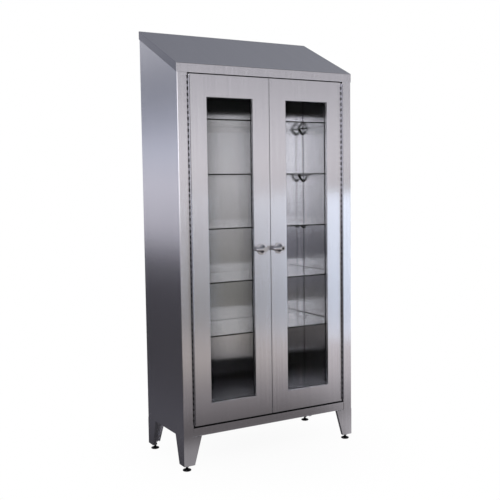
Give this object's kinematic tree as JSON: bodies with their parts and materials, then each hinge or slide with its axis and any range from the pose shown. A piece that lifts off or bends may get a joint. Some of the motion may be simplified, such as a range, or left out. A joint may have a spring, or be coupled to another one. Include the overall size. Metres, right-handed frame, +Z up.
{
  "type": "glass door medical cabinet",
  "caption": "Free-standing stainless cabinet with a sloping roof, glazed hinged doors, glass shelves on clips, lever latches and tapered legs with levelling feet.",
  "frame": {"origin": "on the floor under the middle of the whole outline, levers included", "axes": "+Z up, the doors face -Y, +X to the right seen from the front"},
  "size_m": [0.914, 0.44, 1.9738],
  "materials": {
    "brushed_stainless": "brushed",
    "chrome": "polished",
    "clear_glass": "clear",
    "black_rubber": "matt",
    "dark_zinc": "dark zinc"
  },
  "bodies": {
    "cabinet": {"back_panel": "brushed_stainless", "floor_pan": "brushed_stainless", "front_left_leg": "brushed_stainless", "front_right_leg": "brushed_stainless", "glass_shelf_1": "clear_glass", "glass_shelf_2": "clear_glass", "glass_shelf_3": "clear_glass", "glass_shelf_4": "clear_glass", "glass_shelf_5": "clear_glass", "left_hinge_frame_leaf": "brushed_stainless", "left_hinge_pin": "brushed_stainless", "left_liner": "brushed_stainless", "left_side_shell": "brushed_stainless", "rear_left_leg": "brushed_stainless", "rear_right_leg": "brushed_stainless", "right_hinge_frame_leaf": "brushed_stainless", "right_hinge_pin": "brushed_stainless", "right_liner": "brushed_stainless", "right_side_shell": "brushed_stainless", "roof_cap": "brushed_stainless", "shelf_clip_1_front_left": "dark_zinc", "shelf_clip_1_front_right": "dark_zinc", "shelf_clip_1_rear_left": "dark_zinc", "shelf_clip_1_rear_right": "dark_zinc", "shelf_clip_2_front_left": "dark_zinc", "shelf_clip_2_front_right": "dark_zinc", "shelf_clip_2_rear_left": "dark_zinc", "shelf_clip_2_rear_right": "dark_zinc", "shelf_clip_3_front_left": "dark_zinc", "shelf_clip_3_front_right": "dark_zinc", "shelf_clip_3_rear_left": "dark_zinc", "shelf_clip_3_rear_right": "dark_zinc", "shelf_clip_4_front_left": "dark_zinc", "shelf_clip_4_front_right": "dark_zinc", "shelf_clip_4_rear_left": "dark_zinc", "shelf_clip_4_rear_right": "dark_zinc", "shelf_clip_5_front_left": "dark_zinc", "shelf_clip_5_front_right": "dark_zinc", "shelf_clip_5_rear_left": "dark_zinc", "shelf_clip_5_rear_right": "dark_zinc", "sill": "brushed_stainless"},
    "left_door": {"left_door_pan": "brushed_stainless", "left_door_gasket": "black_rubber", "left_door_glass": "clear_glass", "left_hinge_door_leaf": "brushed_stainless"},
    "left_handle": {"left_lever_handle": "chrome"},
    "left_upper_latch": {"left_upper_rod": "brushed_stainless"},
    "left_lower_latch": {"left_lower_rod": "brushed_stainless"},
    "right_door": {"right_door_pan": "brushed_stainless", "right_door_gasket": "black_rubber", "right_door_glass": "clear_glass", "right_hinge_door_leaf": "brushed_stainless"},
    "right_handle": {"right_lever_handle": "chrome"},
    "right_upper_latch": {"right_upper_rod": "brushed_stainless"},
    "right_lower_latch": {"right_lower_rod": "brushed_stainless"},
    "lock": {"lock_plug": "dark_zinc"},
    "front_left_leveller": {"front_left_foot": "dark_zinc"},
    "front_right_leveller": {"front_right_foot": "dark_zinc"},
    "rear_left_leveller": {"rear_left_foot": "dark_zinc"},
    "rear_right_leveller": {"rear_right_foot": "dark_zinc"}
  },
  "joints": [
    {"name": "left_door_swing", "type": "hinge", "parent": "cabinet", "child": "left_door", "pos_m": [-0.4017, -0.191, 0.9675], "axis": [0, 0, -1], "range_deg": [0, 165]},
    {"name": "left_lever_turn", "type": "hinge", "parent": "left_door", "child": "left_handle", "pos_m": [-0.046, -0.186, 0.9675], "axis": [0, -1, 0], "range_deg": [0, 90]},
    {"name": "left_upper_bolt", "type": "slide", "parent": "left_door", "child": "left_upper_latch", "axis": [0, 0, 1], "range_m": [0, 0.01555]},
    {"name": "left_lower_bolt", "type": "slide", "parent": "left_door", "child": "left_lower_latch", "axis": [0, 0, -1], "range_m": [0, 0.016]},
    {"name": "right_door_swing", "type": "hinge", "parent": "cabinet", "child": "right_door", "pos_m": [0.4017, -0.191, 0.9675], "axis": [0, 0, 1], "range_deg": [0, 165]},
    {"name": "right_lever_turn", "type": "hinge", "parent": "right_door", "child": "right_handle", "pos_m": [0.046, -0.186, 0.9675], "axis": [0, -1, 0], "range_deg": [0, 90]},
    {"name": "right_upper_bolt", "type": "slide", "parent": "right_door", "child": "right_upper_latch", "axis": [0, 0, 1], "range_m": [0, 0.01555]},
    {"name": "right_lower_bolt", "type": "slide", "parent": "right_door", "child": "right_lower_latch", "axis": [0, 0, -1], "range_m": [0, 0.016]},
    {"name": "lock_turn", "type": "hinge", "parent": "right_handle", "child": "lock", "pos_m": [0.046, -0.22, 0.9675], "axis": [0, -1, 0], "range_deg": [0, 90]},
    {"name": "front_left_foot_screw", "type": "slide", "parent": "cabinet", "child": "front_left_leveller", "axis": [0, 0, -1], "range_m": [0, 0.02]},
    {"name": "front_right_foot_screw", "type": "slide", "parent": "cabinet", "child": "front_right_leveller", "axis": [0, 0, -1], "range_m": [0, 0.02]},
    {"name": "rear_left_foot_screw", "type": "slide", "parent": "cabinet", "child": "rear_left_leveller", "axis": [0, 0, -1], "range_m": [0, 0.02]},
    {"name": "rear_right_foot_screw", "type": "slide", "parent": "cabinet", "child": "rear_right_leveller", "axis": [0, 0, -1], "range_m": [0, 0.02]}
  ],
  "couplings": [
    {"joint": "left_lever_turn", "follows": "left_upper_bolt", "rad_per_m": 100.97},
    {"joint": "left_lower_bolt", "follows": "left_upper_bolt", "ratio": 1},
    {"joint": "right_lever_turn", "follows": "right_upper_bolt", "rad_per_m": 100.97},
    {"joint": "right_lower_bolt", "follows": "right_upper_bolt", "ratio": 1}
  ]
}
